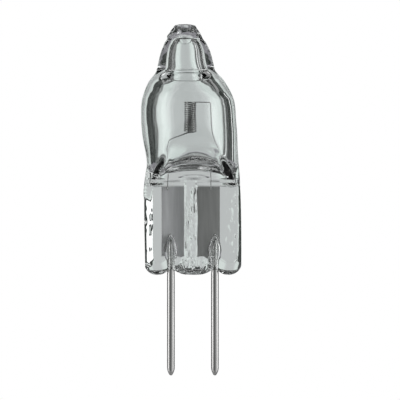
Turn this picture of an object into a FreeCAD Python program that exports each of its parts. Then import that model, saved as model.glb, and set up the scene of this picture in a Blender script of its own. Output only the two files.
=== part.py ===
import FreeCAD, Part
import math
import os
from FreeCAD import Vector

# A low-voltage halogen capsule bulb on two straight pins, in millimetres.
# A clear quartz tube is drawn to a closed tip at the top and pressed flat round
# its lead-ins at the bottom. Z is up, the origin lies midway between the pins
# at the height of the lowest glass, and the front faces -Y.

# The two pins
pin_pitch = 4.0
pin_diameter = 0.70
pin_exposed = 9.15
pin_embedded = 3.40
pin_end_diameter = 0.66
pin_end_taper = 0.60
pin_end_round = 0.35
pin_tip_length = 0.55
pin_tip_diameter = 0.26

# The pressed seal
seal_width = 8.95
seal_centre = -0.06
seal_thickness = 3.0
seal_top = 9.5
seal_shoulder = 1.1
seal_corner = 1.3
seal_edge_round = 0.20
seal_bottom_round = 1.10
left_bevel = 0.90
left_edge = 0.70
right_bevel = 0.36
right_edge = 2.20
corner_fullness = 0.16
scallop_depth = 0.46
scallop_place = 3.05
rib_width = 1.0
rib_centre = -0.22
left_rim = 1.0
right_rim = 0.55
panel_depth = 0.20
panel_draft = 0.20
panel_ease = 0.60
panel_bottom = 1.15
panel_top = 8.25

# The two ramps that the jaws leave between the seal and the barrel
ramp_foot = 9.75
ramp_top = 11.9
ramp_foot_round = 0.9
ramp_edge_round = 0.5

# The bulb's outside, on an axis that leans a little to the left
lean_degrees = 4.2
lean_height = 9.5
bulb_radius = 4.315
bulb_height = 15.05
waist_taper = 0.145
waist_height = 9.9

# The drawn and sealed-off tip, by its rise above the bulb's centre
neck_radius = 2.72
neck_rise = 3.25
brow_radius = 2.32
brow_rise = 5.05
tip_rise = 7.69
tip_radius = 0.95

# The cavity, and the neck's bore by its rise above the bulb's centre
bulb_wall = 1.10
ramp_wall = 1.0
cavity_bottom_round = 0.9
throat_radius = 1.30
bore_radius = 1.0
bore_rise = 5.35
bore_top_rise = 6.55

# The two foils
foil_width = 2.15
foil_length = 6.45
foil_bottom = 1.62
foil_thickness = 0.05
foil_edge = 0.02
foil_feather = 0.25
left_foil_centre = -1.77
right_foil_centre = 1.37
weld_flat = 0.04

# The free space round each pin's end in the glass
pin_clearance = 0.07
void_radius = 0.62
void_start = 1.2
void_height = 2.6
void_top_gap = 0.60

# The filament, one wire with its coil and both legs
wire = 0.11
coil_diameter = 1.07
coil_pitch = 0.19
coil_turns = 15
turn_steps = 11
coil_centre = -0.27
coil_bottom = 12.87
left_leg_x = -2.30
left_leg_height = 12.28
right_leg_x = 1.62
right_leg_bow = 0.28
bow_height = 10.9
right_leg_height = 9.7
leg_weld = 1.1
leg_bend = 0.25
leg_lead = 0.3

pin_radius = pin_diameter / 2
pin_gap = pin_radius + pin_clearance
foil_front = pin_radius - weld_flat
foil_top = foil_bottom + foil_length
wire_y = foil_front - wire / 2
waist_radius = bulb_radius - waist_taper
inner_radius = bulb_radius - bulb_wall
neck_height = bulb_height + neck_rise
brow_height = bulb_height + brow_rise
tip_height = bulb_height + tip_rise
bore_height = bulb_height + bore_rise
bore_top = bulb_height + bore_top_rise
seal_left = seal_centre - seal_width / 2
seal_right = seal_centre + seal_width / 2
ramp_angle = math.atan2(waist_radius - seal_thickness / 2, ramp_top - ramp_foot)
beyond = 2 * bulb_radius


def closed_face(edges):
    """A flat face inside a closed run of edges."""
    return Part.Face(Part.Wire(Part.__sortEdges__(edges)))


def turned(x, outline):
    """A solid turned about an upright axis from a closed (radius, height) outline."""
    points = [Vector(x + radius, 0, z) for radius, z in outline]
    face = Part.Face(Part.makePolygon(points + points[:1]))
    return face.revolve(Vector(x, 0, 0), Vector(0, 0, 1), 360)


def leant(shape):
    """The shape turned from upright to the bulb's leaning axis."""
    result = shape.copy()
    result.rotate(Vector(0, 0, lean_height), Vector(0, 1, 0), -lean_degrees)
    return result


def axis_x(z):
    """Where the leaning axis stands at a height."""
    return -(z - lean_height) * math.tan(math.radians(lean_degrees))


def bowed(start, end, bow):
    """An arc whose middle stands off its chord by bow, to the chord's right."""
    across = Vector(end.z - start.z, 0, start.x - end.x).normalize()
    return Part.Arc(start, (start + end) * 0.5 + across * bow, end).toShape()


def edges_at(solid, z):
    """The solid's long level edges along X at a height."""
    found = []
    for edge in solid.Edges:
        level = abs(edge.BoundBox.ZMin - z) + abs(edge.BoundBox.ZMax - z) < 1e-5
        if level and edge.BoundBox.XLength > beyond:
            found.append(edge)
    return found


def prism_along_x(outline):
    """A prism through the whole bulb from a (y, z) outline of its right half."""
    points = [Vector(-beyond, y, z) for y, z in outline]
    points += [Vector(-beyond, -y, z) for y, z in reversed(outline) if y > 0]
    points.append(points[0])
    return Part.Face(Part.makePolygon(points)).extrude(Vector(2 * beyond, 0, 0))


def seal_outline():
    """The seal's outline from the front, with its scalloped lower edge."""
    pins = pin_pitch / 2
    corners = [
        (seal_left, seal_corner, corner_fullness),
        (-scallop_place, 0, corner_fullness),
        (-pins - pin_gap, scallop_depth, 0),
        (-pins + pin_gap, scallop_depth, scallop_depth / (pin_pitch - 2 * pin_gap)),
        (pins - pin_gap, scallop_depth, 0),
        (pins + pin_gap, scallop_depth, corner_fullness),
        (scallop_place, 0, corner_fullness),
        (seal_right, seal_corner, 0),
        (seal_right, seal_top - seal_shoulder, corner_fullness),
        (seal_right - seal_shoulder, seal_top, 0),
        (seal_left + seal_shoulder, seal_top, corner_fullness),
        (seal_left, seal_top - seal_shoulder, 0),
    ]
    edges = []
    for place, (x, z, fullness) in enumerate(corners):
        next_x, next_z, _ = corners[(place + 1) % len(corners)]
        start = Vector(x, -beyond, z)
        end = Vector(next_x, -beyond, next_z)
        if fullness:
            edges.append(bowed(start, end, fullness * (end - start).Length))
        else:
            edges.append(Part.makeLine(start, end))
    return closed_face(edges)


def seal_section():
    """The seal's level section: flat faces, with a bevel along each edge."""
    half = seal_thickness / 2
    front = [
        (seal_left, left_edge / 2),
        (seal_left + left_bevel, half),
        (seal_right - right_bevel, half),
        (seal_right, right_edge / 2),
    ]
    points = [Vector(x, -y, 0) for x, y in front]
    points += [Vector(x, y, 0) for x, y in reversed(front)]
    return Part.Face(Part.makePolygon(points + points[:1]))


def seal_block():
    """The flat block that the two jaws press, rounded at its edges."""
    half = seal_thickness / 2
    block = seal_section().extrude(Vector(0, 0, seal_top))
    upright = [edge for edge in block.Edges if edge.BoundBox.ZLength > seal_thickness]
    block = block.makeFillet(seal_edge_round, upright)
    side = prism_along_x([(half, 0), (half, 2 * seal_top)])
    side = side.makeFillet(seal_bottom_round, edges_at(side, 0))
    front = seal_outline().extrude(Vector(0, 2 * beyond, 0))
    return block.common(side).common(front)


def ramp_borders(barrel):
    """The curved edges where the two flat ramps leave the round barrel."""
    borders = []
    for face in barrel.Faces:
        flat = isinstance(face.Surface, Part.Plane)
        rise = abs(face.normalAt(0, 0).z)
        if flat and abs(rise - math.sin(ramp_angle)) < 1e-5:
            borders += [edge for edge in face.Edges if not isinstance(edge.Curve, Part.Line)]
    return borders


def ball(radius):
    """The ball that the bulb's shoulder, or its hollow, is part of."""
    solid = Part.makeSphere(radius)
    solid.translate(Vector(0, 0, bulb_height))
    return solid


def pressed_barrel():
    """The barrel and its round shoulder, with a ramp on the front and the back."""
    drum = Part.makeCone(waist_radius, bulb_radius, bulb_height - waist_height)
    drum.translate(Vector(0, 0, waist_height))
    foot = Part.makeCylinder(waist_radius, waist_height)
    barrel = leant(foot.fuse([drum, ball(bulb_radius)]))
    half = seal_thickness / 2
    rise = (beyond - half) / math.tan(ramp_angle)
    outline = [
        (half, ramp_foot - ramp_foot_round),
        (half, ramp_foot),
        (beyond, ramp_foot + rise),
        (beyond, tip_height + rise),
    ]
    wedge = prism_along_x(outline)
    wedge = wedge.makeFillet(ramp_foot_round, edges_at(wedge, ramp_foot))
    pressed = barrel.common(wedge).removeSplitter().Solids[0]
    return pressed.makeFillet(ramp_edge_round, ramp_borders(pressed))


def tip_outside():
    """The drawn neck and the fused tip, on an upright axis."""
    foot_height = neck_height - (bulb_radius - neck_radius) / 2
    outline = [
        (0, foot_height),
        (neck_radius, foot_height),
        (neck_radius, neck_height),
        (brow_radius, brow_height),
        (tip_radius, tip_height),
        (0, tip_height),
    ]
    return turned(axis_x(neck_height), outline)


def panel_ring(left, right, share, y):
    """A panel's four-sided outline at a depth y, drawn in by a share of its draft and ease."""
    low = panel_bottom + panel_ease * share
    high = panel_top - panel_ease * share
    left += panel_draft * share
    right -= panel_draft * share
    corners = [(left, low), (right, low), (right, high), (left, high), (left, low)]
    return Part.makePolygon([Vector(x, y, z) for x, z in corners])


def panel(left, right):
    """A shallow pressed panel, cut into the seal's front face with drafted sides."""
    face = -seal_thickness / 2
    mouth = panel_ring(left, right, 0, face)
    floor = panel_ring(left, right, 1, face + panel_depth)
    return Part.makeLoft([mouth, floor], True, True)


def panels():
    """The four panels, two on the front and two on the back."""
    rib_left = rib_centre - rib_width / 2
    rib_right = rib_centre + rib_width / 2
    front = [panel(seal_left + left_rim, rib_left), panel(rib_right, seal_right - right_rim)]
    back = [shape.mirror(Vector(0, 0, 0), Vector(0, 1, 0)) for shape in front]
    return front + back


def bulb_cavity():
    """The hollow of the barrel, closed below by the two pressed ramps."""
    drum = Part.makeCylinder(inner_radius, bulb_height)
    hollow = leant(drum.fuse(ball(inner_radius)))
    offset_y = seal_thickness / 2 - ramp_wall * math.cos(ramp_angle)
    offset_z = ramp_foot + ramp_wall * math.sin(ramp_angle)
    slope = 1 / math.tan(ramp_angle)
    apex = offset_z - offset_y * slope
    outline = [(0, apex), (beyond, apex + beyond * slope), (beyond, 2 * tip_height)]
    wedge = prism_along_x(outline)
    wedge = wedge.makeFillet(cavity_bottom_round, edges_at(wedge, apex))
    return hollow.common(wedge)


def neck_bore():
    """The tapering bore of the neck, closed by a round end under the tip."""
    foot_height = bulb_height + inner_radius / 2
    throat_height = bulb_height + math.sqrt(inner_radius ** 2 - throat_radius ** 2)
    x = axis_x(throat_height)
    throat = Part.makeCylinder(throat_radius, throat_height - foot_height)
    throat.translate(Vector(x, 0, foot_height))
    neck = Part.makeCone(throat_radius, bore_radius, bore_height - throat_height)
    neck.translate(Vector(x, 0, throat_height))
    end_height = bore_top - bore_radius
    bore = Part.makeCylinder(bore_radius, end_height - bore_height)
    bore.translate(Vector(x, 0, bore_height))
    end = Part.makeSphere(bore_radius)
    end.translate(Vector(x, 0, end_height))
    return throat.fuse([neck, bore, end])


def pin_void(x):
    """The free space round a pin's end, where the glass never closed on it."""
    outline = [
        (0, -pin_diameter),
        (pin_gap, -pin_diameter),
        (pin_gap, void_start),
        (void_radius, void_height),
        (0, pin_embedded + void_top_gap),
    ]
    return turned(x, outline)


def foil(centre):
    """A thin foil, feathered along both of its upright edges."""
    half = foil_width / 2
    middle = foil_front + foil_thickness / 2
    section = [
        (-half, middle - foil_edge / 2),
        (-half + foil_feather, foil_front),
        (half - foil_feather, foil_front),
        (half, middle - foil_edge / 2),
        (half, middle + foil_edge / 2),
        (half - foil_feather, foil_front + foil_thickness),
        (-half + foil_feather, foil_front + foil_thickness),
        (-half, middle + foil_edge / 2),
    ]
    points = [Vector(centre + x, y, foil_bottom) for x, y in section]
    face = Part.Face(Part.makePolygon(points + points[:1]))
    return face.extrude(Vector(0, 0, foil_length))


def pin(x):
    """A straight pin with a rounded tip, drawn in a little where the glass holds it."""
    end_radius = pin_end_diameter / 2
    outline = [
        (0, -pin_exposed),
        (pin_tip_diameter / 2, -pin_exposed),
        (pin_radius, pin_tip_length - pin_exposed),
        (pin_radius, 0),
        (end_radius, pin_end_taper),
        (end_radius, pin_embedded - pin_end_round),
        (end_radius / 2, pin_embedded),
        (0, pin_embedded),
    ]
    solid = turned(x, outline)
    behind = Part.makeBox(pin_diameter, pin_diameter, pin_embedded)
    behind.translate(Vector(x - pin_radius, foil_front, foil_bottom - pin_end_round))
    return solid.cut(behind)


def wire_ring(at, along, out=Vector(0, 1, 0)):
    """A six-sided ring of the wire round a point, with a flat towards out."""
    side = along.cross(out).normalize()
    corner = wire / math.sqrt(3)
    points = []
    for place in range(7):
        turn = math.radians(60 * place)
        points.append(at + side * (corner * math.cos(turn)) + out * (corner * math.sin(turn)))
    return Part.makePolygon(points)


def eased(points, radius):
    """The points with each inner corner replaced by four on a small arc."""
    result = [points[0]]
    for before, corner, after in zip(points, points[1:], points[2:]):
        back = (before - corner).normalize()
        ahead = (after - corner).normalize()
        reach = min(radius, (before - corner).Length / 2, (after - corner).Length / 2)
        for share in (0, 1 / 3, 2 / 3, 1):
            start = corner + back * (reach * (1 - share))
            end = corner + ahead * (reach * share)
            result.append(start * (1 - share) + end * share)
    return result + [points[-1]]


def leg_rings(points):
    """The wire's rings along a leg's eased route."""
    route = eased(points, leg_bend)
    rings = [wire_ring(route[0], route[1] - route[0])]
    for before, at, after in zip(route, route[1:], route[2:]):
        along = (at - before).normalize() + (after - at).normalize()
        rings.append(wire_ring(at, along))
    rings.append(wire_ring(route[-1], route[-1] - route[-2]))
    return rings


def coil_rings():
    """The wire's rings round the coil, from its lower end to its upper one."""
    radius = (coil_diameter - wire) / 2
    axis = Vector(coil_centre, wire_y - radius, coil_bottom)
    rings = []
    for place in range(coil_turns * turn_steps + 1):
        turns = place / turn_steps
        angle = 2 * math.pi * turns
        out = Vector(math.sin(angle), math.cos(angle), 0)
        round_it = Vector(math.cos(angle), -math.sin(angle), 0)
        along = round_it * (2 * math.pi * radius) + Vector(0, 0, coil_pitch)
        at = axis + out * radius + Vector(0, 0, coil_pitch * turns)
        rings.append(wire_ring(at, along, out))
    return rings


def filament():
    """The coil and both legs as one wire, which the foils hold."""
    radius = (coil_diameter - wire) / 2
    start = Vector(coil_centre, wire_y, coil_bottom)
    end = start + Vector(0, 0, coil_pitch * coil_turns)
    along = Vector(2 * math.pi * radius, 0, coil_pitch).normalize()
    lead = end + along * leg_lead
    weld_end = foil_top - leg_weld
    left = [
        Vector(left_leg_x, wire_y, weld_end),
        Vector(left_leg_x, wire_y, left_leg_height),
        start - along * leg_lead,
        start,
    ]
    right = [
        end,
        lead,
        Vector(right_leg_x, wire_y, lead.z),
        Vector(right_leg_x + right_leg_bow, wire_y, bow_height),
        Vector(right_leg_x, wire_y, right_leg_height),
        Vector(right_leg_x, wire_y, weld_end),
    ]
    rings = leg_rings(left)[:-1] + coil_rings() + leg_rings(right)[1:]
    return Part.makeLoft(rings, True, True)


def envelope(inside):
    """The clear quartz body, with a pocket for each piece that it is pressed on."""
    outside = seal_block().fuse([pressed_barrel(), tip_outside()])
    hollow = bulb_cavity().fuse(neck_bore())
    voids = [pin_void(-pin_pitch / 2), pin_void(pin_pitch / 2)]
    body = outside.removeSplitter().cut([hollow] + voids + panels() + inside)
    return body.Solids[0]


lead_wire = filament()
left_foil = foil(left_foil_centre)
right_foil = foil(right_foil_centre)
pieces = {
    "envelope": envelope([lead_wire, left_foil, right_foil]),
    "filament": lead_wire,
    "foil_left": left_foil,
    "foil_right": right_foil,
    "pin_left": pin(-pin_pitch / 2),
    "pin_right": pin(pin_pitch / 2),
}
os.makedirs("parts", exist_ok=True)
for name, shape in pieces.items():
    shape.exportStep("parts/" + name + ".step")
    print(name, len(shape.Solids), shape.isValid(), round(shape.Volume, 3))
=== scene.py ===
# %% [markdown]
# # A halogen capsule bulb
# The bulb is one clear quartz body, pressed flat round two foils and two pins, with a coiled wire
# inside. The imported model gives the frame: everything made here is in metres, in that frame, with
# the origin between the pins at the lowest glass, Z towards the tip and the front at -Y.

# %% Load the frame
import bisect
import math
import bpy
import bmesh
from mathutils import Matrix, Vector, noise


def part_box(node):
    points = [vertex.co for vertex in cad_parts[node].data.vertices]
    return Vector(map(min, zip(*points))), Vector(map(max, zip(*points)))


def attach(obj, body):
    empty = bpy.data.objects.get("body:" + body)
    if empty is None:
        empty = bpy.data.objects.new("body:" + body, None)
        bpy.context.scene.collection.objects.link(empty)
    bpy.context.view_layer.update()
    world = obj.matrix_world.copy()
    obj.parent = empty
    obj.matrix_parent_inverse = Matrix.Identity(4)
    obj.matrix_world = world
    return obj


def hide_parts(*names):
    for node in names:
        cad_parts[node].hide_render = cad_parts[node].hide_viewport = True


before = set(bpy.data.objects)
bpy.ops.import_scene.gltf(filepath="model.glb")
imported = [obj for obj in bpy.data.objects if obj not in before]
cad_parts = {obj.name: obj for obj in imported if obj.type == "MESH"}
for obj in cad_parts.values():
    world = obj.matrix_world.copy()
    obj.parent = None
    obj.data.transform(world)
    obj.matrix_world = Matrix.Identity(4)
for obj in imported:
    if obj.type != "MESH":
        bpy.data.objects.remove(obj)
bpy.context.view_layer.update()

MM = 0.001
for name in sorted(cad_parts):
    low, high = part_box(name)
    print(name, [round(v / MM, 2) for v in low], [round(v / MM, 2) for v in high])

# %% [markdown]
# ## Helpers for the forms
# The real glass was soft when it took its shape, so its outline is a smooth line through a few
# heights. `through` makes such a line from (height, value) pairs without overshooting between them.

# %% A smooth line through points
def through(pairs):
    """A function that goes smoothly through (height, value) pairs."""
    heights = [h for h, _ in pairs]
    values = [v for _, v in pairs]
    slopes = []
    for place in range(len(pairs) - 1):
        step = heights[place + 1] - heights[place]
        slopes.append((values[place + 1] - values[place]) / step)
    tangents = [slopes[0]]
    for before, after in zip(slopes, slopes[1:]):
        same_way = before * after > 0
        tangents.append(2 * before * after / (before + after) if same_way else 0)
    tangents.append(slopes[-1])

    def value(height):
        if height <= heights[0]:
            return values[0]
        if height >= heights[-1]:
            return values[-1]
        place = bisect.bisect_right(heights, height) - 1
        step = heights[place + 1] - heights[place]
        t = (height - heights[place]) / step
        a = values[place] * (1 + 2 * t) * (1 - t) ** 2
        b = tangents[place] * step * t * (1 - t) ** 2
        c = values[place + 1] * t * t * (3 - 2 * t)
        d = tangents[place + 1] * step * t * t * (t - 1)
        return a + b + c + d

    return value


print("halfway from 0 to 2:", through([(0, 0), (1, 2)])(0.5))

# %% [markdown]
# Soft glass has no sharp steps or corners. `rise` goes smoothly from 0 to 1 between two limits.
# `lesser` and `greater` take the smaller or larger of two distances, and round off the corner where
# one takes over from the other.

# %% Smooth steps and soft corners
def rise(low, high, value):
    """0 below low, 1 above high and smooth between."""
    t = min(max((value - low) / (high - low), 0), 1)
    return t * t * (3 - 2 * t)


def lesser(a, b, firmness):
    """The smaller of two distances, with the corner between them rounded off."""
    return (a ** -firmness + b ** -firmness) ** (-1 / firmness)


def greater(a, b, firmness):
    """The larger of two distances, with the corner between them filled in."""
    return (a ** firmness + b ** firmness) ** (1 / firmness)


print("rounded corner of 4 and 4:", round(lesser(4, 4, 24), 3))

# %% [markdown]
# A closed skin starts as a plain open tube: a cone with equal ends whose upright edges are cut into
# levels. Each level is then moved to its section of the real form, and where the two ends of the
# tube shrink to a line or a point, merging the doubles closes them.

# %% A tube with levels
def tube_with_levels(sides, levels):
    """A bmesh tube, and its vertices as a list of rings from bottom to top."""
    bm = bmesh.new()
    bmesh.ops.create_cone(bm, cap_ends=False, segments=sides, radius1=1, radius2=1, depth=1)
    upright = [e for e in bm.edges if abs(e.verts[0].co.z - e.verts[1].co.z) > 0.5]
    bmesh.ops.subdivide_edges(bm, edges=upright, cuts=levels - 2, use_grid_fill=False)
    rings = [[None] * sides for _ in range(levels)]
    for vertex in bm.verts:
        level = round((vertex.co.z + 0.5) * (levels - 1))
        turn = math.atan2(vertex.co.y, vertex.co.x) / (2 * math.pi)
        rings[level][round(turn * sides) % sides] = vertex
    return bm, rings


def spaced(*stretches):
    """Heights from stretches of (start, end, steps), each start once."""
    heights = []
    for start, end, steps in stretches:
        heights += [start + (end - start) * i / steps for i in range(steps)]
    return heights + [stretches[-1][1]]


def close_skin(bm, outwards=True):
    """Merges the doubles at the ends and points the faces outwards, or into a hollow."""
    bmesh.ops.remove_doubles(bm, verts=bm.verts[:], dist=0.0005 * MM)
    bmesh.ops.recalc_face_normals(bm, faces=bm.faces[:])
    if not outwards:
        bmesh.ops.reverse_faces(bm, faces=bm.faces[:])
    open_edges = sum(not e.is_manifold for e in bm.edges)
    print("faces", len(bm.faces), "open edges", open_edges)


print("levels", spaced((0, 1, 2), (1, 3, 2)))

# %% [markdown]
# ## The glass outside
# The bulb leans a little to the left, so its left and right outlines are two lines of their own.
# Their middle is the axis and half their distance is the radius, all in millimetres.

# %% The bulb's outlines
bulb_left = through([
    (9.9, -4.18), (10.6, -4.22), (11.3, -4.34), (12.0, -4.48), (12.8, -4.61), (14.0, -4.70),
    (15.0, -4.71), (15.7, -4.66), (16.4, -4.49), (17.0, -4.28), (17.5, -4.03), (17.9, -3.74),
    (18.25, -3.46), (18.6, -3.30), (19.35, -3.13), (20.1, -2.95), (20.8, -2.69), (21.5, -2.35),
    (22.25, -1.97), (22.74, -1.60),
])
bulb_right = through([
    (9.9, 4.16), (10.6, 4.13), (11.3, 4.08), (12.8, 4.03), (14.25, 3.92), (15.0, 3.88),
    (15.7, 3.78), (16.4, 3.54), (17.0, 3.23), (17.5, 2.92), (17.9, 2.62), (18.25, 2.28),
    (18.6, 2.02), (19.35, 1.83), (20.1, 1.64), (20.8, 1.35), (21.5, 0.92), (22.25, 0.45),
    (22.74, 0.17),
])
seal_left = through([
    (0, -4.35), (2.2, -4.38), (5.0, -4.43), (7.3, -4.44), (8.1, -4.39), (8.8, -4.31),
    (9.2, -4.25), (9.5, -4.18), (9.9, -4.05), (10.4, -3.8),
])
seal_right = through([
    (0, 4.39), (2.2, 4.40), (5.0, 4.38), (7.3, 4.32), (8.1, 4.27), (8.8, 4.23), (9.5, 4.15),
    (9.9, 4.05), (10.4, 3.8),
])
SEAL_HALF = 1.5
print("seal", round(seal_right(5) - seal_left(5), 2), "mm wide and", 2 * SEAL_HALF, "mm thick")

# %% [markdown]
# The two outlines of the bulb give the middle and the radius of its round section at any height.

# %% The bulb's middle and radius
def bulb_centre(z):
    """The middle of the bulb's round section at a height."""
    return (bulb_left(z) + bulb_right(z)) / 2


def bulb_radius(z):
    """The radius of that section."""
    return (bulb_right(z) - bulb_left(z)) / 2


print("widest radius", round(max(bulb_radius(9.9 + i / 10) for i in range(80)), 3))

# %% [markdown]
# The jaws pressed two shoulders into the round tube. Each is an arch: the soft glass gave way least
# in the middle of the jaw, so the shoulder lies highest there.

# %% The shoulders
shoulder_half = through([
    (8.1, SEAL_HALF), (8.6, 1.53), (9.1, 1.62), (9.7, 1.76), (10.0, 1.94), (10.25, 2.3),
    (10.55, 2.8), (10.95, 3.26), (11.45, 3.62), (12.3, 3.95), (13.2, 4.3),
    (14.4, 5.2), (30, 30),
])


def shoulder_drop(x):
    """How much lower the shoulder lies at a distance from the middle of the face."""
    return 0.05 * x * x + 0.6 * max(abs(x) - 2.6, 0) ** 2


print("shoulder 2 mm from the middle lies", round(shoulder_drop(2), 2), "mm lower")

# %% [markdown]
# Glass squeezed out between the jaws left a slanting strip along each upright edge of the seal. On
# the left it runs out in a lens-shaped end below the shoulder. Each strip is given by the place
# where it starts on the face and by its slant in degrees.

# %% The slanting strips
LEFT_BEVEL = (3.43, 54)
LEFT_BACK_BEVEL = (3.95, 66)
RIGHT_BEVEL = (3.93, 53)


def bevel_distance(z, across, deep, on_right, at_back):
    """From the axis to the slanting strip along one of the seal's edges."""
    start, slant = RIGHT_BEVEL if on_right else LEFT_BACK_BEVEL if at_back else LEFT_BEVEL
    if not on_right:
        lens = rise(0.23, 0.40, deep / across)
        slant *= 1 - rise(6.7 + 1.2 * lens, 7.4 + 1.2 * lens, z)
    lean = math.radians(slant)
    edge = start * math.sin(lean) + SEAL_HALF * math.cos(lean)
    return edge / (across * math.sin(lean) + deep * math.cos(lean))


print("strips start at", -LEFT_BEVEL[0], "and", RIGHT_BEVEL[0], "mm")

# %% [markdown]
# At each height the section is what is left of the round bulb between the two shoulders, joined to
# the flat seal. Both are written as a distance from the axis at an angle, so that the soft smaller
# of the two makes the shoulder's rounded edge and the soft larger of the two makes the fillet.

# %% One section of the outside
SHOULDER_TOP = 14.4
SEAL_TOP = 10.6


def outside_distance(z, angle):
    """From the axis to the outside of the glass, at a height and an angle."""
    across = max(abs(math.cos(angle)), 1e-6)
    deep = max(abs(math.sin(angle)), 1e-6)
    centre = bulb_centre(z)
    radius = bulb_radius(z)
    barrel = radius
    for _ in range(5 if z < SHOULDER_TOP else 0):
        x = centre + barrel * math.cos(angle)
        barrel = lesser(radius, shoulder_half(z + shoulder_drop(x)) / deep, 24)
    if z > SEAL_TOP:
        return barrel
    reach = seal_right(z) - centre if math.cos(angle) > 0 else centre - seal_left(z)
    half = SEAL_HALF * (1 - 0.75 * rise(8.9, SEAL_TOP, z))
    block = lesser(reach / across, half / deep, 40)
    bevel = bevel_distance(z, across, deep, math.cos(angle) > 0, math.sin(angle) > 0)
    block = lesser(block, bevel, 60)
    joined = greater(barrel, block, 50)
    return block + (joined - block) * rise(7.9, 8.4, z)


across_reach, deep_reach = outside_distance(9, 0), outside_distance(9, math.pi / 2)
print("section at 9 mm:", round(across_reach, 2), round(deep_reach, 2))

# %% [markdown]
# The vertices of a ring lie evenly along the seal's four sides low down, so that its corners stay
# sharp, and evenly round the bulb higher up.

# %% Angles round a ring
SIDES = 224
SEAL_REACH = 4.47


def ring_angles(z):
    """Evenly along the seal's outline low down, and evenly round the bulb higher up."""
    wide, half = SEAL_REACH, SEAL_HALF
    share = rise(7.5, 12.5, z)
    angles = []
    for place in range(SIDES):
        even = 2 * math.pi * place / SIDES
        quarter, rest = divmod(place, SIDES // 4)
        along = rest / (SIDES // 4) * (wide + half)
        if quarter % 2:
            along = wide + half - along
        at = (wide, along) if along < half else (wide + half - along, half)
        seal = math.atan2(at[1], at[0])
        if quarter % 2:
            seal = math.pi - seal
        if quarter >= 2:
            seal += math.pi
        angles.append(seal + (even - seal) * share)
    return angles


print("first angles", [round(math.degrees(angle), 1) for angle in ring_angles(0)[:4]])

# %% [markdown]
# The two jaws also leave four shallow panels with a rib between them. The glass there isn't quite
# even: the strip on the left has a few dents, and the panel on the right has soft flecks. Each mark
# is a small push on the flat faces.

# %% The panels
RIB_MIDDLE = -0.18
RIB_HALF = 0.38
PANEL_DEPTH = 0.2
PANEL_SLOPE = 0.16


def in_panel(x, z):
    """1 inside a pressed panel and 0 outside it."""
    upright = rise(0.4, 2.6, z) * (1 - rise(8.05, 8.4, z))
    left = 1 - rise(RIB_MIDDLE - RIB_HALF - PANEL_SLOPE, RIB_MIDDLE - RIB_HALF, x)
    right = rise(RIB_MIDDLE + RIB_HALF, RIB_MIDDLE + RIB_HALF + PANEL_SLOPE, x)
    return upright * (left + right)


def wrinkles(x, side, z):
    """A few dents in the strip on the left, and soft flecks in the panel on the right."""
    dent = max(noise.noise(Vector((x * 2.4, side * 4, z * 2.2))) - 0.05, 0)
    spell = rise(3.0, 3.6, z) * (1 - rise(5.6, 6.3, z)) + 0.5 * math.exp(-((z - 2.2) / 0.2) ** 2)
    left = dent * spell * math.exp(-((x + 3.8) / 0.13) ** 2)
    fleck = max(noise.noise(Vector((x * 3.6, side * 9, z * 2.6))) - 0.2, 0)
    right = fleck * rise(2.7, 3.1, x) * (1 - rise(3.7, 3.9, x))
    return 0.6 * left + 0.3 * right * rise(1.5, 3, z) * (1 - rise(7, 8, z))


print("inside a panel", in_panel(1.5, 5), "and on the rib", in_panel(-0.2, 5))

# %% [markdown]
# The rib was squeezed up between two jaws, so its glass is streaked along its length, with one deep
# crease in its upper half. Above the panels a ledge of glass is left standing. Its foot is arched
# and softest at the sides, and a fine ridge runs along below it.

# %% The rib and the ledge
STREAK, FINE_STREAK, CREASE = 0.36, 0.24, 0.34
LEDGE, RIDGE = 0.32, 0.14


def crease(x, z):
    """1 in the crease where the soft glass folded in the upper half of the rib."""
    wander = 0.04 + 0.06 * noise.noise(Vector((0.5, 2, z * 1.5)))
    length = rise(5.5, 6.1, z) * (1 - rise(7.6, 8.2, z))
    return length * math.exp(-((x - wander) / 0.13) ** 2)


def press_marks(x, y, z):
    """How far the face is pushed in at a place, in millimetres."""
    side = math.copysign(1, y)
    depth = PANEL_DEPTH * in_panel(x, z)
    push = min(depth, max(abs(y) - SEAL_HALF + depth, 0)) + wrinkles(x, side, z)
    foot = 0.1 + 0.4 * math.hypot(x - 0.1, 0.5)
    arch = 0.6 * (1 - math.exp(-(x - 0.1) ** 2 / 2))
    above = rise(8.8, 8.8 + foot, z + arch) * (1 - rise(9.5, 10.5, z + 0.06 * x * x))
    push -= LEDGE * above
    push -= RIDGE * math.exp(-((z - 8.6) / 0.11) ** 2)
    rib = math.exp(-((x - RIB_MIDDLE) / 0.42) ** 4) * rise(0.8, 1.6, z) * (1 - rise(7.9, 8.6, z))
    streak = noise.noise(Vector((x * 3.6, side * 7, z * 0.75)))
    fine = noise.noise(Vector((x * 7.5, side * 3 + 5, z * 0.8)))
    push += rib * (STREAK * streak + FINE_STREAK * fine) + CREASE * crease(x, z)
    return push


print("panel", round(press_marks(1.5, 1.5, 5), 3), "rib", round(press_marks(-0.2, 1.5, 5), 3))

# %% [markdown]
# The lower edge is scalloped: it bulges down between the pins and at both corners, and draws back
# where each pin comes out. Its underside is rounded like a melted rim, and between the pins the
# soft glass ended in a row of small waves, which look like teeth from the front.

# %% The lower edge
PIN_X = 2.0
CORNER_X = 4.45
CORNER_RADIUS = 1.15
TOOTH_PITCH = 0.74


def teeth(x):
    """1 on each of the soft teeth below the foils and 0 between them."""
    between_pins = rise(-1.6, -1.3, x) * (1 - rise(1.3, 1.6, x))
    return between_pins * (0.5 + 0.5 * math.cos((x + 0.32) * 2 * math.pi / TOOTH_PITCH))


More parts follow.
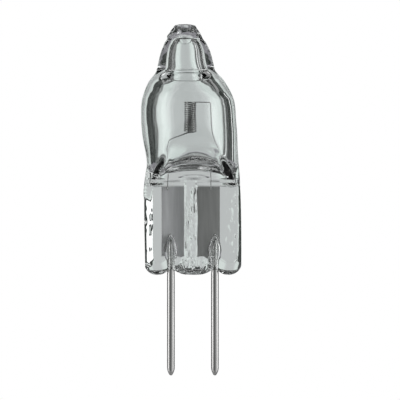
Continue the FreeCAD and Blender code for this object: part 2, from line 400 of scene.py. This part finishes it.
def lower_edge(x, y):
    """The height of the glass's underside at a place."""
    width = 0.75 if abs(x) < PIN_X else 0.55
    scallop = 0.46 * math.exp(-((abs(x) - PIN_X) / width) ** 2)
    over = max(abs(x) - (CORNER_X - CORNER_RADIUS), 0)
    corner = CORNER_RADIUS - math.sqrt(max(CORNER_RADIUS ** 2 - over ** 2, 0))
    at_pin = math.exp(-((abs(x) - PIN_X) / 0.55) ** 2)
    round_off = min(abs(y) / SEAL_HALF, 1)
    tooth = teeth(x) * rise(0.2, 0.75, round_off)
    tall = 1.2 + 0.8 * at_pin + 1.2 * tooth
    power = 1.22 + 0.78 * max(at_pin, tooth)
    edge = tall * (1 - (1 - round_off ** power) ** (1 / power))
    return min(scallop + corner + edge, 2.2)


print("underside at a pin", round(lower_edge(PIN_X, 0), 2), "and between them", lower_edge(0, 0))

# %% [markdown]
# The lowest rings shrink to a line along the middle of that edge, and the rings above it take up
# the scallops until they are level. Only the two faces of the seal get the press marks, and not its
# upright edges.

# %% The lowest rings
BOTTOM_RINGS = 14
WALL_RINGS = 16
WALL_TOP = 2.4
LEVELS = spaced((WALL_TOP, 7.6, 40), (7.6, 11.8, 66), (11.8, 15.4, 22), (15.4, 19.2, 44),
                (19.2, 22.3, 28), (22.3, 22.62, 6))
TIP_RINGS = 7
FACE_START = 0.6 * SEAL_HALF

bm, rings = tube_with_levels(SIDES, BOTTOM_RINGS + WALL_RINGS + len(LEVELS) + TIP_RINGS)
angles = ring_angles(0)
for level, ring in enumerate(rings[:BOTTOM_RINGS + WALL_RINGS]):
    share = math.sin(min(level / BOTTOM_RINGS, 1) * math.pi / 2)
    lift = max(level - BOTTOM_RINGS, 0) / WALL_RINGS
    for angle, vertex in zip(angles, ring):
        reach = outside_distance(WALL_TOP * lift, angle)
        x = bulb_centre(0) + reach * math.cos(angle) * (0.7 + 0.3 * share)
        y = reach * math.sin(angle) * share
        low = lower_edge(x, y)
        z = low + (WALL_TOP - low) * lift
        if abs(y) > FACE_START:
            y -= math.copysign(press_marks(x, y, z), y)
        vertex.co = Vector((x, y, z)) * MM
print("lower edge made of", BOTTOM_RINGS + WALL_RINGS, "rings")

# %% [markdown]
# Above it each ring is level. The tip was melted shut and cooled unevenly, so the last rings get
# rough facets, which grow towards its top.

# %% The tip's facets
def tip_roughness(angle, z):
    """Facets of the fused tip, as a share of its radius."""
    amount = rise(20.6, 21.8, z)
    facets = noise.noise(Vector((math.cos(angle) * 2.2, math.sin(angle) * 2.2, z * 2.0)))
    creases = noise.noise(Vector((math.cos(angle) * 3.4, math.sin(angle) * 3.4, z * 2.6)))
    return 1 + amount * (0.09 * facets + 0.05 * creases)


print("roughness at the tip", round(tip_roughness(0, 22.6), 3))

# %% [markdown]
# The rings between the lower edge and the tip take their form from `outside_distance`. Up to the
# top of the seal, the press marks are pushed into both faces.

# %% The seal and the bulb
PRESS_TOP = 10.4
first = BOTTOM_RINGS + WALL_RINGS
for z, ring in zip(LEVELS, rings[first:]):
    angles = ring_angles(z)
    centre = bulb_centre(z)
    for angle, vertex in zip(angles, ring):
        reach = outside_distance(z, angle) * tip_roughness(angle, z)
        x = centre + reach * math.cos(angle)
        y = reach * math.sin(angle)
        if z < PRESS_TOP and abs(y) > FACE_START:
            y -= math.copysign(press_marks(x, y, z), y)
        vertex.co = Vector((x, y, z)) * MM
print("seal and bulb made of", len(LEVELS), "rings")

# %% [markdown]
# The last rings shrink to a point in a low dome. Then the skin is closed and kept as a mesh.

# %% The top of the tip
TIP_DOME = 0.1
top = LEVELS[-1]
for place, ring in enumerate(rings[-TIP_RINGS:]):
    share = 1 - (place + 1) / TIP_RINGS
    for number, vertex in enumerate(ring):
        angle = 2 * math.pi * number / SIDES
        reach = bulb_radius(top) * share * tip_roughness(angle, top)
        x = bulb_centre(top) + reach * math.cos(angle)
        y = reach * math.sin(angle)
        z = top + TIP_DOME * math.sqrt(1 - share ** 2)
        vertex.co = Vector((x, y, z)) * MM
close_skin(bm)
glass_mesh = bpy.data.meshes.new("quartz_envelope")
bm.to_mesh(glass_mesh)
bm.free()
print("outside", len(glass_mesh.polygons), "faces")

# %% [markdown]
# ## The hollow
# The cavity follows the outside at the thickness of the wall: a round drum that closes above in a
# narrow throat and a bore, and below in a line between the two inner ramps. A small step runs
# round the throat, just above 18 mm, where the neck was drawn from the bulb. It shows as a thin
# ring in the glass.

# %% The cavity's outlines
cavity_left = through([
    (10.85, -2.7), (10.95, -2.95), (11.15, -3.12), (11.5, -3.24), (12.3, -3.38), (13.0, -3.5),
    (14.0, -3.66), (15.0, -3.69), (15.7, -3.60), (16.2, -3.45), (16.6, -3.26), (17.1, -2.98),
    (17.5, -2.62), (17.8, -2.32), (18.0, -2.16), (18.08, -2.11), (18.12, -2.1), (18.18, -1.98),
    (18.3, -1.94), (18.8, -1.87), (19.4, -1.85), (20.1, -1.78), (20.5, -1.7), (20.8, -1.6),
    (21.0, -1.48), (21.13, -1.37), (21.2, -1.26),
])
cavity_right = through([
    (10.85, 2.65), (10.95, 2.88), (11.15, 3.03), (11.5, 3.12), (12.3, 3.14), (14.0, 3.06),
    (15.0, 3.01), (15.7, 2.88), (16.2, 2.64), (16.6, 2.36), (17.1, 1.94), (17.5, 1.53),
    (17.8, 1.2), (18.0, 1.02), (18.08, 0.97), (18.12, 0.96), (18.18, 0.82), (18.3, 0.77),
    (18.8, 0.66), (19.4, 0.56), (20.1, 0.48), (20.5, 0.38), (20.8, 0.26), (21.0, 0.12),
    (21.13, 0.01), (21.2, -0.1),
])
print("cavity", round(cavity_right(15) - cavity_left(15), 2), "mm wide at 15 mm")

# %% [markdown]
# Between the ramps the hollow is flattened. Its floor is an arch as the shoulders are, and its
# corners hang a little lower still.

# %% The cavity's ramps and floor
CAVITY_BOTTOM = 10.85
cavity_half = through([
    (10.85, 0.0), (10.9, 0.6), (11.0, 1.15), (11.15, 1.6), (11.4, 2.0), (11.8, 2.4),
    (12.4, 2.76), (13.0, 3.02), (13.7, 3.4), (14.6, 4.2), (30, 30),
])


def cavity_drop(x, z):
    """The hollow's floor is an arch too, and lies lower on the side to which the bulb leans."""
    corners = 0.4 * rise(1.9, 3.0, abs(x))
    return (0.12 * x * x - 0.05 * x + corners) * (1 - rise(CAVITY_BOTTOM + 0.1, 13.4, z))


print("floor 3 mm from the middle lies", round(cavity_drop(3, CAVITY_BOTTOM), 2), "mm lower")

# %% [markdown]
# The rings of the cavity's skin lie closest at the floor, at the throat's step and under the bore's
# ceiling. Its faces point into the hollow, which tells the renderer which side the glass is on.

# %% The cavity's rings
CAVITY_SIDES = 128
CAVITY_LEVELS = spaced((CAVITY_BOTTOM, 10.95, 8), (10.95, 11.8, 20), (11.8, 14.6, 26),
                       (14.6, 15.4, 6), (15.4, 17.9, 31), (17.9, 18.4, 16), (18.4, 20.4, 12),
                       (20.4, 21.2, 20))
DROP_RINGS = 12
bm, rings = tube_with_levels(CAVITY_SIDES, len(CAVITY_LEVELS) + DROP_RINGS)
for z, ring in zip(CAVITY_LEVELS, rings):
    centre = (cavity_left(z) + cavity_right(z)) / 2
    reach = (cavity_right(z) - cavity_left(z)) / 2
    for number, vertex in enumerate(ring):
        angle = 2 * math.pi * number / CAVITY_SIDES
        x = reach * math.cos(angle)
        y = reach * math.sin(angle)
        half = cavity_half(z)
        y = math.copysign(lesser(max(abs(y), 1e-4), half, 30), y) if half > 0.001 else 0
        vertex.co = Vector((x + centre, y, z - cavity_drop(x + centre, z))) * MM
print("cavity made of", len(CAVITY_LEVELS), "rings")

# %% [markdown]
# When the tip was melted shut, a drop of glass ran together on the bore's ceiling. It hangs into
# the bore, so the last rings curve down and close in a point.

# %% The drop on the bore's ceiling
DROP_X, DROP_RADIUS = -0.68, 0.57
DROP_TOP, DROP_HANG = 21.19, 0.5
for place, ring in enumerate(rings[len(CAVITY_LEVELS):]):
    turn = place / (DROP_RINGS - 1) * math.pi / 2
    for number, vertex in enumerate(ring):
        angle = 2 * math.pi * number / CAVITY_SIDES
        x = DROP_X + DROP_RADIUS * math.cos(turn) * math.cos(angle)
        y = DROP_RADIUS * math.cos(turn) * math.sin(angle)
        vertex.co = Vector((x, y, DROP_TOP - DROP_HANG * math.sin(turn))) * MM
close_skin(bm, outwards=False)
cavity_mesh = bpy.data.meshes.new("cavity")
bm.to_mesh(cavity_mesh)
bm.free()

# %% [markdown]
# Round each pin's end the glass never closed on the metal, which leaves a pointed hollow. Hollow
# and pin are both lathe shapes: an outline of a few points spun round an upright axis.

# %% Spun shapes
def spun(outline, centre, steps):
    """A bmesh spun round an upright axis from (radius, height) points in millimetres."""
    bm = bmesh.new()
    line = [bm.verts.new(Vector((centre[0] + r, centre[1], z)) * MM) for r, z in outline]
    edges = [bm.edges.new(pair) for pair in zip(line, line[1:])]
    axis_point = Vector((centre[0], centre[1], 0)) * MM
    bmesh.ops.spin(bm, geom=line + edges, cent=axis_point, axis=(0, 0, 1), dvec=(0, 0, 0),
                   angle=2 * math.pi, steps=steps, use_merge=True, use_duplicate=False)
    return bm


trial = spun([(0, 0), (1, 0)], (0, 0), 12)
print("a spun disc has", len(trial.faces), "faces")
trial.free()

# %% [markdown]
# Each hollow starts about as wide as the pin, swells a little and runs out in a point above it.

# %% The hollows round the pins
VOID_BOTTOM, VOID_STEP, VOID_POINTS = 0.55, 0.1077, 31
void_outline = through([(VOID_BOTTOM, 0.36), (1.0, 0.42), (1.6, 0.53), (2.3, 0.6), (2.8, 0.52),
                        (3.4, 0.28), (3.78, 0.0)])
void_points = [(0, 0.5)]
for place in range(VOID_POINTS):
    z = VOID_BOTTOM + place * VOID_STEP
    void_points.append((void_outline(z), z))
void_meshes = []
for x in (-PIN_X, PIN_X):
    bm = spun(void_points, (x, 0), 40)
    close_skin(bm, outwards=False)
    mesh = bpy.data.meshes.new("pin_void")
    bm.to_mesh(mesh)
    bm.free()
    void_meshes.append(mesh)

# %% [markdown]
# The outside, the cavity and the hollows round the pins are the skins of one solid body, so they
# are joined into one mesh.

# %% Join the skins of the glass
bm = bmesh.new()
for mesh in [glass_mesh, cavity_mesh] + void_meshes:
    bm.from_mesh(mesh)
for face in bm.faces:
    face.smooth = True
bm.to_mesh(glass_mesh)
bm.free()
envelope = bpy.data.objects.new("quartz_envelope", glass_mesh)
bpy.context.scene.collection.objects.link(envelope)
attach(envelope, "root")
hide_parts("envelope")
size = [round(v, 2) for v in envelope.dimensions / MM]
print("envelope", len(glass_mesh.polygons), "faces", size)

# %% [markdown]
# ## The wire
# The coil is a screw: one round section of the wire is spun round the coil's axis while it rises by
# the pitch on each turn. Its wire is a little thicker than that of the legs, so that the turns
# nearly touch, as they do in the real coil.

# %% The coil
LEG_WIRE = 0.0496
COIL_WIRE = 0.074
COIL_RADIUS = 0.48
COIL_PITCH = 0.19
COIL_TURNS = 15
COIL_X, COIL_Y, COIL_Z = -0.27, -0.225, 12.87
COIL_STEPS = 28

bm = bmesh.new()
section = bmesh.ops.create_circle(bm, cap_ends=False, radius=COIL_WIRE * MM, segments=10)["verts"]
bmesh.ops.rotate(bm, verts=section, cent=(0, 0, 0), matrix=Matrix.Rotation(math.pi / 2, 3, "Y"))
at = Vector((COIL_X, COIL_Y + COIL_RADIUS, COIL_Z)) * MM
bmesh.ops.translate(bm, verts=section, vec=at)
steps = COIL_TURNS * COIL_STEPS
bmesh.ops.spin(bm, geom=bm.verts[:] + bm.edges[:], cent=Vector((COIL_X, COIL_Y, 0)) * MM,
               axis=(0, 0, -1), dvec=Vector((0, 0, COIL_PITCH * COIL_TURNS / steps)) * MM,
               angle=2 * math.pi * COIL_TURNS, steps=steps, use_duplicate=False)
wire_mesh = bpy.data.meshes.new("tungsten_wire")
bm.to_mesh(wire_mesh)
bm.free()
print("coil", len(wire_mesh.polygons), "faces")

# %% [markdown]
# The legs follow a bent line from the coil's ends down to the foils. Each leg is a curve with a
# round section: its spline carries the bends, and its mesh is taken over and joined to the coil's.

# %% Wire along a line
def wire_along(points, radius, name):
    """A mesh of round wire along a smooth line through points in millimetres."""
    curve = bpy.data.curves.new(name, "CURVE")
    curve.dimensions = "3D"
    curve.bevel_depth = radius * MM
    curve.bevel_resolution = 3
    curve.resolution_u = 8
    curve.use_fill_caps = True
    spline = curve.splines.new("NURBS")
    spline.points.add(len(points) - 1)
    for point, place in zip(spline.points, points):
        point.co = (*[v * MM for v in place], 1)
    spline.order_u = 3
    spline.use_endpoint_u = True
    holder = bpy.data.objects.new(name, curve)
    bpy.context.scene.collection.objects.link(holder)
    bpy.context.view_layer.update()
    mesh = bpy.data.meshes.new_from_object(holder.evaluated_get(
        bpy.context.evaluated_depsgraph_get()))
    bpy.data.objects.remove(holder)
    return mesh


print("legs of", 2 * LEG_WIRE, "mm wire")

# %% [markdown]
# The left leg leaves the coil's lower end, goes out a little and bends straight down. The right leg
# leaves the upper end, bends down and swings out and in again before it meets its foil.

# %% The legs
WIRE_Y = COIL_Y + COIL_RADIUS
COIL_TOP = COIL_Z + COIL_PITCH * COIL_TURNS
left_leg = [
    (COIL_X + 0.04, WIRE_Y, COIL_Z), (COIL_X - 0.3, WIRE_Y, COIL_Z - 0.03),
    (-1.2, WIRE_Y, 12.6), (-2.15, WIRE_Y, 12.36), (-2.3, WIRE_Y, 12.3), (-2.3, WIRE_Y, 12.1),
    (-2.3, WIRE_Y, 9.5), (-2.3, WIRE_Y, 7.7),
]
right_leg = [
    (COIL_X - 0.04, WIRE_Y, COIL_TOP), (COIL_X + 0.3, WIRE_Y, COIL_TOP + 0.05),
    (1.35, WIRE_Y, 15.74), (1.55, WIRE_Y, 15.72), (1.6, WIRE_Y, 15.5), (1.66, WIRE_Y, 13.5),
    (1.9, WIRE_Y, 10.9), (1.66, WIRE_Y, 9.7), (1.62, WIRE_Y, 8.6), (1.62, WIRE_Y, 7.7),
]
print("coil from", COIL_Z, "to", round(COIL_TOP, 2), "mm")

# %% [markdown]
# The legs get the second material slot, because the coil's copy of the tungsten is painted darker
# than the legs', as painted shade between its turns.

# %% Join the legs and the coil
bm = bmesh.new()
for points, name in ((left_leg, "left_leg"), (right_leg, "right_leg")):
    bm.from_mesh(wire_along(points, LEG_WIRE, name))
for face in bm.faces:
    face.material_index = 1
bm.from_mesh(wire_mesh)
bmesh.ops.recalc_face_normals(bm, faces=bm.faces[:])
for face in bm.faces:
    face.smooth = True
bm.to_mesh(wire_mesh)
bm.free()
wire = bpy.data.objects.new("tungsten_wire", wire_mesh)
bpy.context.scene.collection.objects.link(wire)
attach(wire, "root")
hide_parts("filament")
print("wire", len(wire_mesh.polygons), "faces")

# %% [markdown]
# ## The pins
# A pin is a length of drawn wire with a blunted tip. In the glass it thins a little and ends in a
# rounded point in front of its foil.

# %% Two pins
pin_outline = [
    (0, -9.15), (0.06, -9.14), (0.13, -9.1), (0.2, -8.98), (0.3, -8.75), (0.34, -8.6),
    (0.35, -8.4), (0.35, -5), (0.35, -1), (0.35, 0), (0.34, 0.3), (0.33, 0.7), (0.33, 2.4),
    (0.31, 2.8), (0.24, 3.1), (0.12, 3.3), (0, 3.38),
]
for x, name in ((-PIN_X, "left"), (PIN_X, "right")):
    bm = spun(pin_outline, (x, 0), 48)
    close_skin(bm)
    for face in bm.faces:
        face.smooth = True
    mesh = bpy.data.meshes.new("drawn_pin_" + name)
    bm.to_mesh(mesh)
    bm.free()
    pin = bpy.data.objects.new("drawn_pin_" + name, mesh)
    bpy.context.scene.collection.objects.link(pin)
    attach(pin, "root")
    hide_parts("pin_" + name)
print("pins at", -PIN_X, PIN_X)

# %% [markdown]
# ## Finishes
# Fused quartz is clear and smooth, with a lower index than window glass. The other finishes are
# metals: tungsten, dull rolled molybdenum and brighter drawn wire.

# %% The quartz
def new_material(name):
    """A material and its Principled shader."""
    material = bpy.data.materials.new(name)
    material.use_nodes = True
    return material, material.node_tree.nodes["Principled BSDF"]


quartz, shader = new_material("clear_quartz")
shader.inputs["Base Color"].default_value = (0.97, 0.99, 0.985, 1)
shader.inputs["Roughness"].default_value = 0.0
shader.inputs["IOR"].default_value = 1.46
shader.inputs["Transmission Weight"].default_value = 1.0
glass_mesh.materials.append(quartz)
print(quartz.name)

# %% [markdown]
# Drawn wire and rolled foil have fine marks along their length. A noise stretched along Z changes
# the colour a little and lifts the surface slightly.

# %% Streaked metals
ALONG_WIRE = (3, 3, 0.4)
ALONG_PIN = (4, 4, 0.15)
ALONG_FOIL = (4, 4, 0.3)


def streaked_metal(name, dark, light, stretch, roughness, bump):
    """A metal whose colour and height vary in streaks along one direction."""
    material, shader = new_material(name)
    nodes, links = material.node_tree.nodes, material.node_tree.links
    coordinate = nodes.new("ShaderNodeTexCoord")
    mapping = nodes.new("ShaderNodeMapping")
    mapping.inputs["Scale"].default_value = stretch
    streaks = nodes.new("ShaderNodeTexNoise")
    streaks.inputs["Scale"].default_value = 1000
    streaks.inputs["Detail"].default_value = 4
    ramp = nodes.new("ShaderNodeValToRGB")
    ramp.color_ramp.elements[0].position = 0.3
    ramp.color_ramp.elements[0].color = (*dark, 1)
    ramp.color_ramp.elements[1].position = 0.7
    ramp.color_ramp.elements[1].color = (*light, 1)
    lift = nodes.new("ShaderNodeBump")
    lift.inputs["Strength"].default_value = bump
    lift.inputs["Distance"].default_value = 0.02 * MM
    links.new(coordinate.outputs["Object"], mapping.inputs["Vector"])
    links.new(mapping.outputs["Vector"], streaks.inputs["Vector"])
    links.new(streaks.outputs["Fac"], ramp.inputs["Fac"])
    links.new(ramp.outputs["Color"], shader.inputs["Base Color"])
    links.new(streaks.outputs["Fac"], lift.inputs["Height"])
    links.new(lift.outputs["Normal"], shader.inputs["Normal"])
    shader.inputs["Metallic"].default_value = 1.0
    shader.inputs["Roughness"].default_value = roughness
    return material


print("streaks on the wire are drawn out", round(ALONG_WIRE[0] / ALONG_WIRE[2], 1), "times")

# %% [markdown]
# The coil is the darkest and glossiest wire: it is the same tungsten as the legs, painted darker as
# painted shade between its close turns. The legs are paler, and the pins are paler still.

# %% The wires' metals
tungsten = streaked_metal("drawn_tungsten", (0.34, 0.34, 0.34), (0.48, 0.48, 0.48),
                          ALONG_WIRE, 0.25, 0.2)
# painted shade: the coil's tungsten is a darker copy of the legs' tungsten, for the shade between
# its close turns
coil_tungsten_painted_shade = streaked_metal("coiled_tungsten_painted_shade", (0.26, 0.26, 0.255), (0.36, 0.36, 0.355),
                            ALONG_WIRE, 0.18, 0.1)
pin_metal = streaked_metal("drawn_pin_wire", (0.45, 0.445, 0.44), (0.58, 0.575, 0.57),
                           ALONG_PIN, 0.22, 0.2)
wire_mesh.materials.append(coil_tungsten_painted_shade)
wire_mesh.materials.append(tungsten)
for side in ("left", "right"):
    bpy.data.objects["drawn_pin_" + side].data.materials.append(pin_metal)
print("metals", coil_tungsten_painted_shade.name, tungsten.name, pin_metal.name)

# %% [markdown]
# The left foil isn't quite flat: it curls a little along its outer edge, so it catches more light
# there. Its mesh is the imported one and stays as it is, so the material leans the surface's normal.

# %% A leaning surface
LEFT_FOIL_START, LEFT_FOIL_END = -2.85, -0.7
FOIL_LEAN = 0.5


def tilted(material, left, right, lean):
    """Turns the surface's normal a little to the right, most at left and not at all at right."""
    nodes, links = material.node_tree.nodes, material.node_tree.links
    split = nodes.new("ShaderNodeSeparateXYZ")
    links.new(nodes["Texture Coordinate"].outputs["Object"], split.inputs[0])
    fall = nodes.new("ShaderNodeMapRange")
    limits = {"From Min": left * MM, "From Max": right * MM, "To Min": lean, "To Max": 0}
    for name, value in limits.items():
        fall.inputs[name].default_value = value
    links.new(split.outputs["X"], fall.inputs["Value"])
    aside = nodes.new("ShaderNodeCombineXYZ")
    links.new(fall.outputs["Result"], aside.inputs["X"])
    total = nodes.new("ShaderNodeVectorMath")
    links.new(nodes["Bump"].outputs["Normal"], total.inputs[0])
    links.new(aside.outputs[0], total.inputs[1])
    length = nodes.new("ShaderNodeVectorMath")
    length.operation = "NORMALIZE"
    links.new(total.outputs[0], length.inputs[0])
    links.new(length.outputs[0], nodes["Principled BSDF"].inputs["Normal"])


print("the normal leans by up to", round(math.degrees(math.atan(FOIL_LEAN)), 1), "degrees")

# %% [markdown]
# Rolled foil is dull, so it is the roughest metal here. The left foil gets a paler copy of the same
# molybdenum, a painted highlight for the light it catches.

# %% The foils' metal
molybdenum = streaked_metal("rolled_molybdenum", (0.46, 0.46, 0.455), (0.56, 0.56, 0.555),
                            ALONG_FOIL, 0.5, 0.2)
# painted highlight: the left foil's metal is a paler copy of the right foil's molybdenum, for the
# light it catches
left_molybdenum_painted_light = streaked_metal("rolled_molybdenum_left_painted_light", (0.55, 0.55, 0.56),
                                 (0.65, 0.65, 0.66), ALONG_FOIL, 0.5, 0.2)
tilted(left_molybdenum_painted_light, LEFT_FOIL_START, LEFT_FOIL_END, FOIL_LEAN)
for side, metal in (("left", left_molybdenum_painted_light), ("right", molybdenum)):
    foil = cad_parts["foil_" + side]
    foil.data.materials.clear()
    foil.data.materials.append(metal)
print("foils", left_molybdenum_painted_light.name, molybdenum.name)

# %% [markdown]
# ## The set
# Clear glass shows nothing but what stands round it, so the bulb gets a set of pale and dark walls,
# painted on the world. This first cell makes an empty world, and the helpers below add its nodes.

# %% An empty world
world = bpy.data.worlds.new("studio")
bpy.context.scene.world = world
world.use_nodes = True
nodes, links = world.node_tree.nodes, world.node_tree.links
nodes.clear()
print("world", world.name)

# %% [markdown]
# Four helpers keep the set readable: one for a sum, one for a soft limit, one for tones along a
# line and one for laying a tone over another.

# %% Helpers for the set's nodes
def calculate(operation, first, second=None):
    """A Math node, from sockets or numbers."""
    node = nodes.new("ShaderNodeMath")
    node.operation = operation
    for socket, value in zip(node.inputs, (first, second)):
        if value is None:
            continue
        if isinstance(value, (int, float)):
            socket.default_value = value
        else:
            links.new(value, socket)
    return node.outputs[0]


def fade(value, low, high):
    """A Map Range node that goes from 1 below low to 0 above high."""
    node = nodes.new("ShaderNodeMapRange")
    node.interpolation_type = "SMOOTHSTEP"
    node.inputs["From Min"].default_value = low
    node.inputs["From Max"].default_value = high
    node.inputs["To Min"].default_value = 1
    node.inputs["To Max"].default_value = 0
    links.new(value, node.inputs["Value"])
    return node.outputs["Result"]


def tones(value, stops):
    """A Color Ramp from (position, colour) stops."""
    node = nodes.new("ShaderNodeValToRGB")
    elements = node.color_ramp.elements
    for place, (position, colour) in enumerate(stops):
        element = elements[place] if place < 2 else elements.new(position)
        element.position = position
        element.color = (*colour, 1)
    links.new(value, node.inputs["Fac"])
    return node.outputs["Color"]


def blend(factor, first, second):
    """A Mix node from the first colour to the second, each a socket or a colour."""
    node = nodes.new("ShaderNodeMix")
    node.data_type = "RGBA"
    links.new(factor, node.inputs["Factor"])
    for socket, value in ((node.inputs["A"], first), (node.inputs["B"], second)):
        if isinstance(value, tuple):
            socket.default_value = (*value, 1)
        else:
            links.new(value, socket)
    return node.outputs["Result"]


print("no world nodes yet:", len(nodes))

# %% [markdown]
# A direction is given by its turn to the left or right and by its height. The turn runs from 90
# degrees left to 90 degrees right, the same in front of the bulb as behind it.

# %% Directions
direction = nodes.new("ShaderNodeTexCoord").outputs["Generated"]
split = nodes.new("ShaderNodeSeparateXYZ")
links.new(direction, split.inputs[0])
ahead = calculate("ABSOLUTE", split.outputs["Y"])
turn = calculate("DIVIDE", calculate("ARCTAN2", split.outputs["X"], ahead), math.pi)
place_round = calculate("ADD", turn, 0.5)


def degrees(angle):
    """A place on the ramp that runs from 90 degrees left to 90 degrees right."""
    return 0.5 + angle / 180


print("30 degrees right is at", round(degrees(30), 3))

# %% [markdown]
# Straight behind the bulb the set is a pale field with a brighter strip at each side. Dark walls
# beside it give the glass its dark edges, and one thin lamp on the right makes a white line in
# them. Lower down the walls are only dusky. In front the room is dim, with bright panes at the
# sides, which show as gloss on the seal's strips.

# %% Tones round the bulb
DARK = (0.035, 0.04, 0.037)
DUSK = (0.26, 0.255, 0.275)
FIELD = (0.52, 0.535, 0.535)
BRIGHT = (0.68, 0.73, 0.71)
SIDE = (0.3, 0.3, 0.3)
LAMP = (1.25, 1.25, 1.25)
HIGH = (0.3, 0.3, 0.3)
OVER = (0.05, 0.05, 0.05)
PANE = (1.4, 1.4, 1.4)
FRONT = (0.19, 0.195, 0.193)
level_round = tones(place_round, [
    (degrees(-90), SIDE), (degrees(-74), SIDE), (degrees(-68), DARK), (degrees(-26), DARK),
    (degrees(-23), BRIGHT), (degrees(-12), BRIGHT), (degrees(-7), FIELD), (degrees(4), FIELD),
    (degrees(8), BRIGHT), (degrees(16.5), BRIGHT), (degrees(20), DARK), (degrees(27), DARK),
    (degrees(27.5), LAMP), (degrees(30.5), LAMP), (degrees(31), DARK), (degrees(62), DARK),
    (degrees(68), FIELD), (degrees(90), FIELD),
])
low_round = tones(place_round, [
    (degrees(-90), FIELD), (degrees(-68), FIELD), (degrees(-62), DUSK), (degrees(-24), DUSK),
    (degrees(-18), FIELD), (degrees(18), FIELD), (degrees(24), DUSK), (degrees(62), DUSK),
    (degrees(68), FIELD), (degrees(90), FIELD),
])
front_round = tones(place_round, [
    (degrees(-90), PANE), (degrees(-60), PANE), (degrees(-54), FRONT), (degrees(10), FRONT),
    (degrees(18), FIELD), (degrees(52), FIELD), (degrees(60), PANE), (degrees(90), PANE),
])
print("three rings of tones,", len(nodes), "world nodes")

# %% [markdown]
# Above the walls the ceiling is dark, with a dim ring in it. Below them lies a dusky band, and the
# darkness under that makes the dark lines in the shoulders and in the lower edge. The front of
# the room is laid over all of them.

# %% The heights of the set
height = split.outputs["Z"]
below = fade(height, -0.24, -0.20)
above = calculate("SUBTRACT", 1, fade(height, 0.42, 0.48))
high = calculate("SUBTRACT", 1, fade(height, 0.60, 0.62))
over = calculate("SUBTRACT", 1, fade(height, 0.67, 0.70))
under = fade(height, -0.42, -0.36)
deep = fade(height, -0.60, -0.54)
in_front = fade(split.outputs["Y"], -0.04, 0.0)
set_tones = blend(below, level_round, low_round)
set_tones = blend(above, set_tones, DARK)
set_tones = blend(high, set_tones, HIGH)
set_tones = blend(over, set_tones, OVER)
set_tones = blend(under, set_tones, DUSK)
set_tones = blend(deep, set_tones, DARK)
set_tones = blend(in_front, set_tones, front_round)
print("set made of", len(nodes), "world nodes")

# %% [markdown]
# The camera itself sees plain white, as in the photograph. Light Path tells its rays from the ones
# that come through the glass.

# %% The background
path = nodes.new("ShaderNodeLightPath")
WHITE = (1.0, 1.0, 1.0)
seen = blend(path.outputs["Is Camera Ray"], set_tones, WHITE)
background = nodes.new("ShaderNodeBackground")
links.new(seen, background.inputs["Color"])
out = nodes.new("ShaderNodeOutputWorld")
links.new(background.outputs[0], out.inputs["Surface"])
print("world", len(nodes), "nodes")

# %% [markdown]
# The floor lies well below the pins, which are made to be held in a holder, so its soft shadow
# stays out of the picture. It is a small disc, so that the glass still shows the dark of the set
# round it.

# %% The floor
FLOOR_RADIUS = 0.08
FLOOR_DROP = 0.075
bm = bmesh.new()
bmesh.ops.create_circle(bm, cap_ends=True, radius=FLOOR_RADIUS, segments=96)
bmesh.ops.translate(bm, verts=bm.verts[:], vec=(0, 0, -FLOOR_DROP))
floor_mesh = bpy.data.meshes.new("studio_floor")
bm.to_mesh(floor_mesh)
bm.free()
floor = bpy.data.objects.new("studio_floor", floor_mesh)
bpy.context.scene.collection.objects.link(floor)
print("floor", round(FLOOR_DROP / MM), "mm below the origin")

# %% [markdown]
# The floor is matt and pale. To the camera it glows almost white, so that it has no edge against
# the white background, and a share of its shading stays for the shadow.

# %% The floor's finish
floor_material, shader = new_material("pale_floor")
floor_nodes, floor_links = floor_material.node_tree.nodes, floor_material.node_tree.links
shader.inputs["Base Color"].default_value = (0.8, 0.8, 0.8, 1)
shader.inputs["Roughness"].default_value = 0.9
glow = floor_nodes.new("ShaderNodeEmission")
glow.inputs["Strength"].default_value = 1.1
light_path = floor_nodes.new("ShaderNodeLightPath")
share = floor_nodes.new("ShaderNodeMath")
share.operation = "MULTIPLY"
share.inputs[1].default_value = 0.9
floor_links.new(light_path.outputs["Is Camera Ray"], share.inputs[0])
mix = floor_nodes.new("ShaderNodeMixShader")
floor_links.new(share.outputs[0], mix.inputs[0])
floor_links.new(shader.outputs[0], mix.inputs[1])
floor_links.new(glow.outputs[0], mix.inputs[2])
floor_links.new(mix.outputs[0], floor_nodes["Material Output"].inputs["Surface"])
floor_mesh.materials.append(floor_material)
print(floor_material.name, len(floor_nodes), "nodes")

# %% [markdown]
# Two soft lamps stand in front, one on each side, for the gloss on the metal.

# %% Lamps
LAMP_AIM = Vector((0, 0, 0.006))


def soft_lamp(name, place, size, power):
    """A square lamp that points at the bulb."""
    lamp = bpy.data.lights.new(name, "AREA")
    lamp.size = size
    lamp.energy = power
    holder = bpy.data.objects.new(name, lamp)
    bpy.context.scene.collection.objects.link(holder)
    holder.location = place
    towards = LAMP_AIM - Vector(place)
    holder.rotation_euler = towards.to_track_quat("-Z", "Y").to_euler()
    print(name, size, "m wide,", power, "W")


soft_lamp("left_lamp", (-0.5, -0.16, 0.12), 0.5, 0.5)
soft_lamp("right_lamp", (0.5, -0.12, 0.1), 0.4, 0.3)

# %% [markdown]
# ## The camera
# The bulb was photographed square from the front with a long lens. The picture is 400 by 400
# pixels at 11 pixels to the millimetre, and its centre lies a little right of the pins' middle.

# %% Camera
PICTURE_SIDE = 400
PIXELS_PER_MM = 11
camera = bpy.data.cameras.new("camera")
camera.lens = 120
camera.sensor_width = 36
camera.clip_start = 0.001
camera.clip_end = 10
holder = bpy.data.objects.new("camera", camera)
bpy.context.scene.collection.objects.link(holder)
half_picture = PICTURE_SIDE / PIXELS_PER_MM / 2 * MM
distance = half_picture / (camera.sensor_width / 2 / camera.lens)
holder.location = (0.645 * MM, -distance, 6.8 * MM)
holder.rotation_euler = (math.pi / 2, 0, 0)
bpy.context.scene.camera = holder
bpy.context.scene.view_settings.view_transform = "Standard"
print("camera", round(distance / MM, 1), "mm away")
